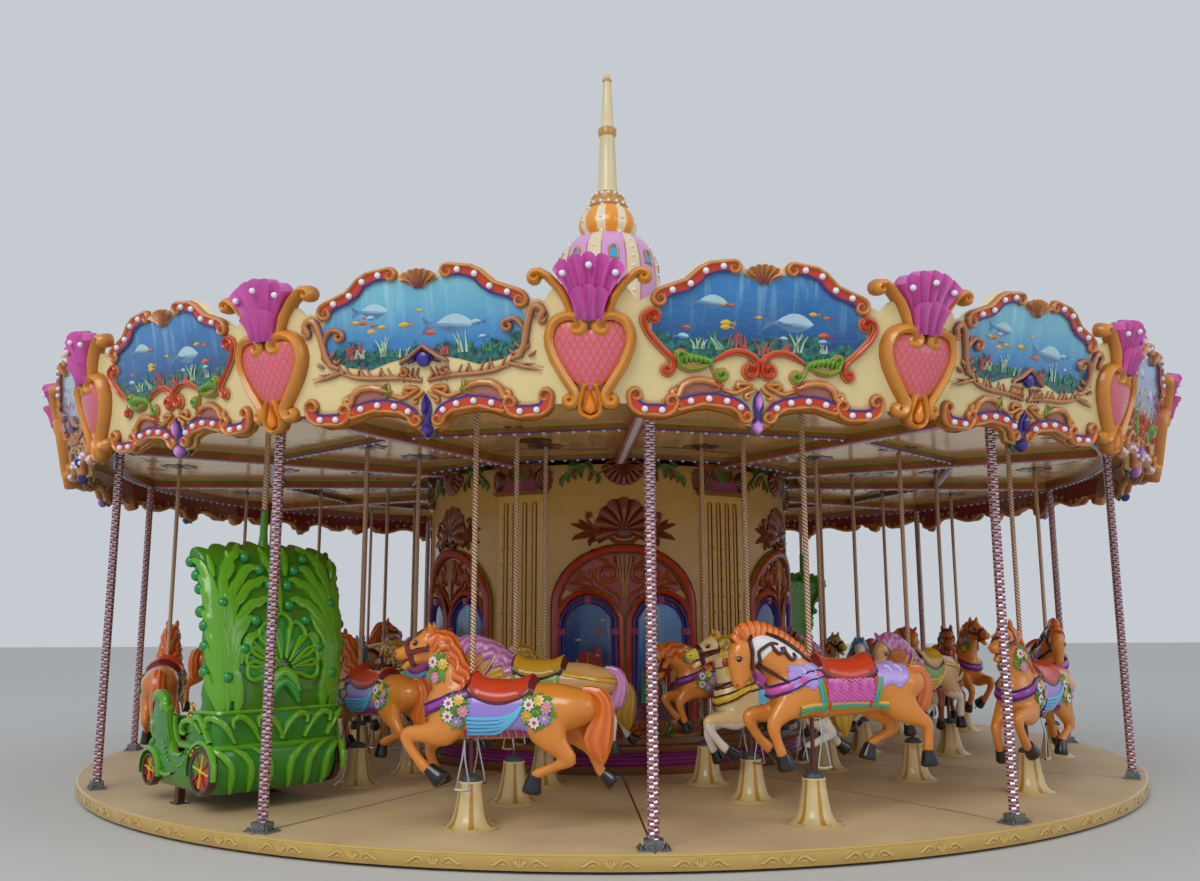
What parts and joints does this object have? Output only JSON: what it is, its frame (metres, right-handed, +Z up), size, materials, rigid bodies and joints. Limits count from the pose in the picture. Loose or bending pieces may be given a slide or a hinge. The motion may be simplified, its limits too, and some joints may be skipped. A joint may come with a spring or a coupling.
{
  "type": "fairground carousel",
  "caption": "Fairground carousel: a turning deck of jumping horses and two chariots around a round drum, under leaning boards, a roof, a dome and a spire.",
  "frame": {"origin": "centre of the ride on the ground", "axes": "+Z up along the turning axis, -Y through the first post, towards the viewer"},
  "size_m": [11.2744, 11.2744, 7.8449],
  "materials": {
    "plinth_paint": "gloss paint",
    "drum_panel": "painted panels",
    "arcade_moulding": "gloss painted moulding",
    "deck_sheet": "worn anti-slip paint",
    "post_steel": "wound with a light strip",
    "board_moulding": "gloss painted moulding",
    "ceiling_panel": "polished gold laminate",
    "roof_sheet": "matt sheet",
    "dome_shell": "painted shell",
    "finial_shell": "painted shell",
    "spire_shell": "painted shell",
    "mount_figure": "lacquered figure",
    "chariot_shell": "lacquered shell"
  },
  "bodies": {
    "drum": {"drum_base": "plinth_paint", "drum_housing": "drum_panel", "drum_arcade": "arcade_moulding"},
    "rotor": {"deck_1": "deck_sheet", "deck_2": "deck_sheet", "deck_3": "deck_sheet", "deck_4": "deck_sheet", "posts_1": "post_steel", "posts_2": "post_steel", "posts_3": "post_steel", "posts_4": "post_steel", "rounding_boards_1": "board_moulding", "rounding_boards_2": "board_moulding", "rounding_boards_3": "board_moulding", "rounding_boards_4": "board_moulding", "ceiling": "ceiling_panel", "roof": "roof_sheet", "dome": "dome_shell", "pumpkin": "finial_shell", "spire": "spire_shell", "chariot_1": "chariot_shell", "chariot_2": "chariot_shell"},
    "outer_horse_01": {"outer_horse_01": "mount_figure"},
    "middle_horse_01": {"middle_horse_01": "mount_figure"},
    "inner_horse_01": {"inner_horse_01": "mount_figure"},
    "outer_horse_02": {"outer_horse_02": "mount_figure"},
    "middle_horse_02": {"middle_horse_02": "mount_figure"},
    "inner_horse_02": {"inner_horse_02": "mount_figure"},
    "outer_horse_03": {"outer_horse_03": "mount_figure"},
    "middle_horse_03": {"middle_horse_03": "mount_figure"},
    "inner_horse_03": {"inner_horse_03": "mount_figure"},
    "outer_horse_04": {"outer_horse_04": "mount_figure"},
    "middle_horse_04": {"middle_horse_04": "mount_figure"},
    "inner_horse_04": {"inner_horse_04": "mount_figure"},
    "middle_horse_05": {"middle_horse_05": "mount_figure"},
    "inner_horse_05": {"inner_horse_05": "mount_figure"},
    "outer_horse_06": {"outer_horse_06": "mount_figure"},
    "middle_horse_06": {"middle_horse_06": "mount_figure"},
    "inner_horse_06": {"inner_horse_06": "mount_figure"},
    "outer_horse_07": {"outer_horse_07": "mount_figure"},
    "middle_horse_07": {"middle_horse_07": "mount_figure"},
    "inner_horse_07": {"inner_horse_07": "mount_figure"},
    "outer_horse_08": {"outer_horse_08": "mount_figure"},
    "middle_horse_08": {"middle_horse_08": "mount_figure"},
    "inner_horse_08": {"inner_horse_08": "mount_figure"},
    "outer_horse_09": {"outer_horse_09": "mount_figure"},
    "middle_horse_09": {"middle_horse_09": "mount_figure"},
    "inner_horse_09": {"inner_horse_09": "mount_figure"},
    "outer_horse_10": {"outer_horse_10": "mount_figure"},
    "middle_horse_10": {"middle_horse_10": "mount_figure"},
    "inner_horse_10": {"inner_horse_10": "mount_figure"},
    "middle_horse_11": {"middle_horse_11": "mount_figure"},
    "inner_horse_11": {"inner_horse_11": "mount_figure"},
    "outer_horse_12": {"outer_horse_12": "mount_figure"},
    "middle_horse_12": {"middle_horse_12": "mount_figure"},
    "inner_horse_12": {"inner_horse_12": "mount_figure"}
  },
  "joints": [
    {"name": "carousel_spin", "type": "hinge", "parent": "drum", "child": "rotor", "pos_m": [0, 0, 2.96], "axis": [0, 0, -1], "continuous": true},
    {"name": "outer_horse_01_slide", "type": "slide", "parent": "rotor", "child": "outer_horse_01", "axis": [0, 0, 1], "range_m": [-0.2, 0.08]},
    {"name": "middle_horse_01_slide", "type": "slide", "parent": "rotor", "child": "middle_horse_01", "axis": [0, 0, 1], "range_m": [-0.08, 0.2]},
    {"name": "inner_horse_01_slide", "type": "slide", "parent": "rotor", "child": "inner_horse_01", "axis": [0, 0, 1], "range_m": [-0.2, 0.08]},
    {"name": "outer_horse_02_slide", "type": "slide", "parent": "rotor", "child": "outer_horse_02", "axis": [0, 0, 1], "range_m": [-0.08, 0.2]},
    {"name": "middle_horse_02_slide", "type": "slide", "parent": "rotor", "child": "middle_horse_02", "axis": [0, 0, 1], "range_m": [-0.2, 0.08]},
    {"name": "inner_horse_02_slide", "type": "slide", "parent": "rotor", "child": "inner_horse_02", "axis": [0, 0, 1], "range_m": [-0.08, 0.2]},
    {"name": "outer_horse_03_slide", "type": "slide", "parent": "rotor", "child": "outer_horse_03", "axis": [0, 0, 1], "range_m": [-0.2, 0.08]},
    {"name": "middle_horse_03_slide", "type": "slide", "parent": "rotor", "child": "middle_horse_03", "axis": [0, 0, 1], "range_m": [-0.08, 0.2]},
    {"name": "inner_horse_03_slide", "type": "slide", "parent": "rotor", "child": "inner_horse_03", "axis": [0, 0, 1], "range_m": [-0.2, 0.08]},
    {"name": "outer_horse_04_slide", "type": "slide", "parent": "rotor", "child": "outer_horse_04", "axis": [0, 0, 1], "range_m": [-0.08, 0.2]},
    {"name": "middle_horse_04_slide", "type": "slide", "parent": "rotor", "child": "middle_horse_04", "axis": [0, 0, 1], "range_m": [-0.2, 0.08]},
    {"name": "inner_horse_04_slide", "type": "slide", "parent": "rotor", "child": "inner_horse_04", "axis": [0, 0, 1], "range_m": [-0.08, 0.2]},
    {"name": "middle_horse_05_slide", "type": "slide", "parent": "rotor", "child": "middle_horse_05", "axis": [0, 0, 1], "range_m": [-0.08, 0.2]},
    {"name": "inner_horse_05_slide", "type": "slide", "parent": "rotor", "child": "inner_horse_05", "axis": [0, 0, 1], "range_m": [-0.2, 0.08]},
    {"name": "outer_horse_06_slide", "type": "slide", "parent": "rotor", "child": "outer_horse_06", "axis": [0, 0, 1], "range_m": [-0.08, 0.2]},
    {"name": "middle_horse_06_slide", "type": "slide", "parent": "rotor", "child": "middle_horse_06", "axis": [0, 0, 1], "range_m": [-0.2, 0.08]},
    {"name": "inner_horse_06_slide", "type": "slide", "parent": "rotor", "child": "inner_horse_06", "axis": [0, 0, 1], "range_m": [-0.08, 0.2]},
    {"name": "outer_horse_07_slide", "type": "slide", "parent": "rotor", "child": "outer_horse_07", "axis": [0, 0, 1], "range_m": [-0.2, 0.08]},
    {"name": "middle_horse_07_slide", "type": "slide", "parent": "rotor", "child": "middle_horse_07", "axis": [0, 0, 1], "range_m": [-0.08, 0.2]},
    {"name": "inner_horse_07_slide", "type": "slide", "parent": "rotor", "child": "inner_horse_07", "axis": [0, 0, 1], "range_m": [-0.2, 0.08]},
    {"name": "outer_horse_08_slide", "type": "slide", "parent": "rotor", "child": "outer_horse_08", "axis": [0, 0, 1], "range_m": [-0.08, 0.2]},
    {"name": "middle_horse_08_slide", "type": "slide", "parent": "rotor", "child": "middle_horse_08", "axis": [0, 0, 1], "range_m": [-0.2, 0.08]},
    {"name": "inner_horse_08_slide", "type": "slide", "parent": "rotor", "child": "inner_horse_08", "axis": [0, 0, 1], "range_m": [-0.08, 0.2]},
    {"name": "outer_horse_09_slide", "type": "slide", "parent": "rotor", "child": "outer_horse_09", "axis": [0, 0, 1], "range_m": [-0.2, 0.08]},
    {"name": "middle_horse_09_slide", "type": "slide", "parent": "rotor", "child": "middle_horse_09", "axis": [0, 0, 1], "range_m": [-0.08, 0.2]},
    {"name": "inner_horse_09_slide", "type": "slide", "parent": "rotor", "child": "inner_horse_09", "axis": [0, 0, 1], "range_m": [-0.2, 0.08]},
    {"name": "outer_horse_10_slide", "type": "slide", "parent": "rotor", "child": "outer_horse_10", "axis": [0, 0, 1], "range_m": [-0.08, 0.2]},
    {"name": "middle_horse_10_slide", "type": "slide", "parent": "rotor", "child": "middle_horse_10", "axis": [0, 0, 1], "range_m": [-0.2, 0.08]},
    {"name": "inner_horse_10_slide", "type": "slide", "parent": "rotor", "child": "inner_horse_10", "axis": [0, 0, 1], "range_m": [-0.08, 0.2]},
    {"name": "middle_horse_11_slide", "type": "slide", "parent": "rotor", "child": "middle_horse_11", "axis": [0, 0, 1], "range_m": [-0.08, 0.2]},
    {"name": "inner_horse_11_slide", "type": "slide", "parent": "rotor", "child": "inner_horse_11", "axis": [0, 0, 1], "range_m": [-0.2, 0.08]},
    {"name": "outer_horse_12_slide", "type": "slide", "parent": "rotor", "child": "outer_horse_12", "axis": [0, 0, 1], "range_m": [-0.08, 0.2]},
    {"name": "middle_horse_12_slide", "type": "slide", "parent": "rotor", "child": "middle_horse_12", "axis": [0, 0, 1], "range_m": [-0.2, 0.08]},
    {"name": "inner_horse_12_slide", "type": "slide", "parent": "rotor", "child": "inner_horse_12", "axis": [0, 0, 1], "range_m": [-0.08, 0.2]}
  ],
  "couplings": [
    {"joint": "outer_horse_01_slide", "follows": "middle_horse_01_slide", "ratio": -1},
    {"joint": "inner_horse_01_slide", "follows": "middle_horse_01_slide", "ratio": -1},
    {"joint": "outer_horse_02_slide", "follows": "middle_horse_01_slide", "ratio": 1},
    {"joint": "middle_horse_02_slide", "follows": "middle_horse_01_slide", "ratio": -1},
    {"joint": "inner_horse_02_slide", "follows": "middle_horse_01_slide", "ratio": 1},
    {"joint": "outer_horse_03_slide", "follows": "middle_horse_01_slide", "ratio": -1},
    {"joint": "middle_horse_03_slide", "follows": "middle_horse_01_slide", "ratio": 1},
    {"joint": "inner_horse_03_slide", "follows": "middle_horse_01_slide", "ratio": -1},
    {"joint": "outer_horse_04_slide", "follows": "middle_horse_01_slide", "ratio": 1},
    {"joint": "middle_horse_04_slide", "follows": "middle_horse_01_slide", "ratio": -1},
    {"joint": "inner_horse_04_slide", "follows": "middle_horse_01_slide", "ratio": 1},
    {"joint": "middle_horse_05_slide", "follows": "middle_horse_01_slide", "ratio": 1},
    {"joint": "inner_horse_05_slide", "follows": "middle_horse_01_slide", "ratio": -1},
    {"joint": "outer_horse_06_slide", "follows": "middle_horse_01_slide", "ratio": 1},
    {"joint": "middle_horse_06_slide", "follows": "middle_horse_01_slide", "ratio": -1},
    {"joint": "inner_horse_06_slide", "follows": "middle_horse_01_slide", "ratio": 1},
    {"joint": "outer_horse_07_slide", "follows": "middle_horse_01_slide", "ratio": -1},
    {"joint": "middle_horse_07_slide", "follows": "middle_horse_01_slide", "ratio": 1},
    {"joint": "inner_horse_07_slide", "follows": "middle_horse_01_slide", "ratio": -1},
    {"joint": "outer_horse_08_slide", "follows": "middle_horse_01_slide", "ratio": 1},
    {"joint": "middle_horse_08_slide", "follows": "middle_horse_01_slide", "ratio": -1},
    {"joint": "inner_horse_08_slide", "follows": "middle_horse_01_slide", "ratio": 1},
    {"joint": "outer_horse_09_slide", "follows": "middle_horse_01_slide", "ratio": -1},
    {"joint": "middle_horse_09_slide", "follows": "middle_horse_01_slide", "ratio": 1},
    {"joint": "inner_horse_09_slide", "follows": "middle_horse_01_slide", "ratio": -1},
    {"joint": "outer_horse_10_slide", "follows": "middle_horse_01_slide", "ratio": 1},
    {"joint": "middle_horse_10_slide", "follows": "middle_horse_01_slide", "ratio": -1},
    {"joint": "inner_horse_10_slide", "follows": "middle_horse_01_slide", "ratio": 1},
    {"joint": "middle_horse_11_slide", "follows": "middle_horse_01_slide", "ratio": 1},
    {"joint": "inner_horse_11_slide", "follows": "middle_horse_01_slide", "ratio": -1},
    {"joint": "outer_horse_12_slide", "follows": "middle_horse_01_slide", "ratio": 1},
    {"joint": "middle_horse_12_slide", "follows": "middle_horse_01_slide", "ratio": -1},
    {"joint": "inner_horse_12_slide", "follows": "middle_horse_01_slide", "ratio": 1}
  ]
}
